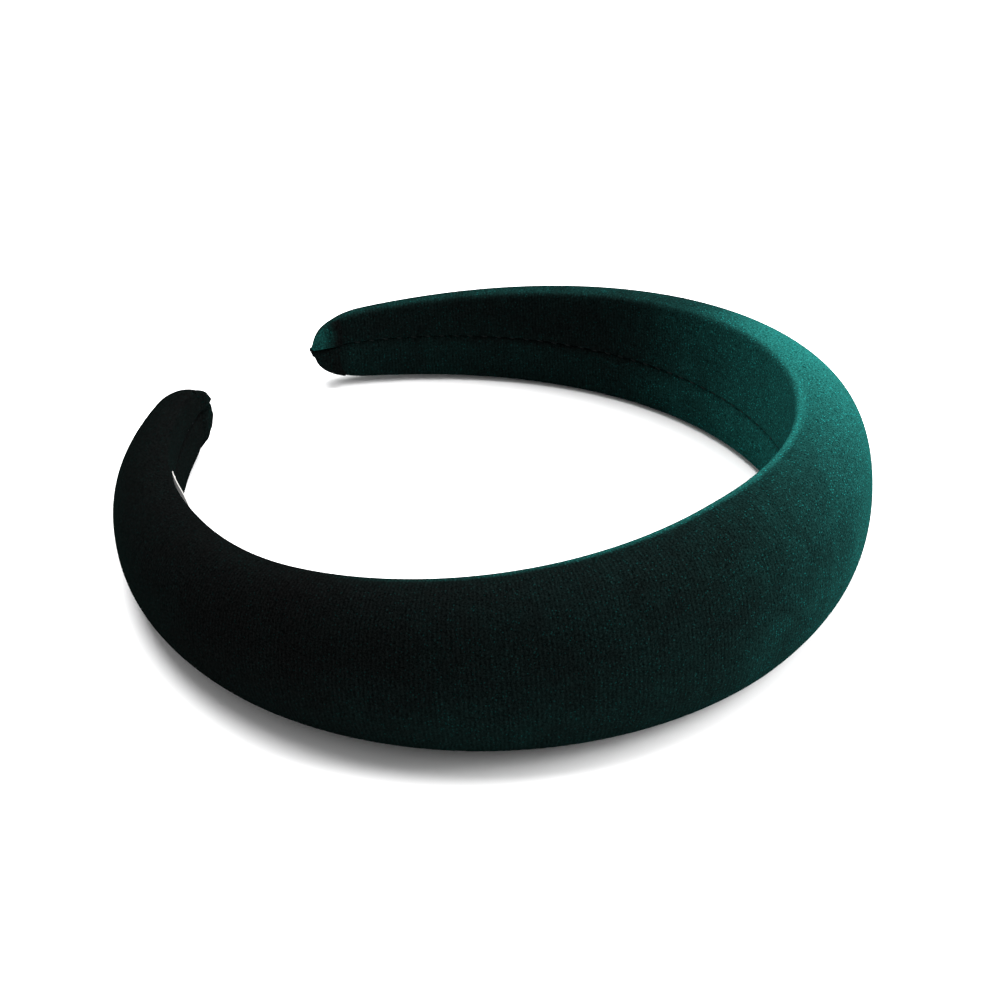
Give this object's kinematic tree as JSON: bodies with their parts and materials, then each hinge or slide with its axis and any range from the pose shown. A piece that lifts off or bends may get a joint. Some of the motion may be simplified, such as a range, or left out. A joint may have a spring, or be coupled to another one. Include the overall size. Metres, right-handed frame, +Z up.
{
  "type": "headband",
  "caption": "Padded velvet headband in a C shape, widest and thickest at the crown, with arms that taper to rounded, turned-over tips.",
  "frame": {"origin": "centre of the bounding box's bottom face, on the table that the band lies on", "axes": "+Z up through the band's width as it lies on its side, +X towards the crown, +Y towards the left arm, and the opening between the tips towards -X"},
  "size_m": [0.1534, 0.155, 0.0392],
  "materials": {
    "velvet": "dark green knitted velvet with a short shiny pile",
    "foam": "open-cell sponge",
    "core": "moulded, fine matt grain",
    "thread": "spun polyester sewing thread",
    "satin": "blank woven satin",
    "label_thread": "fine white sewing thread"
  },
  "bodies": {
    "right_half": {"band_core_right": "core", "foam_pad_right": "foam", "velvet_cover_right": "velvet", "seam_thread_right": "thread", "tip_fold_right": "velvet", "care_label": "satin", "label_stitching": "label_thread"},
    "left_half": {"band_core_left": "core", "foam_pad_left": "foam", "velvet_cover_left": "velvet", "seam_thread_left": "thread", "tip_fold_left": "velvet"}
  },
  "joints": [
    {"name": "crown_flex", "type": "hinge", "parent": "right_half", "child": "left_half", "pos_m": [0.07658, 0, 0.0204], "axis": [0.075, 0, -0.9972], "range_deg": [0, 30], "stiffness_Nm_per_rad": 0.3}
  ]
}
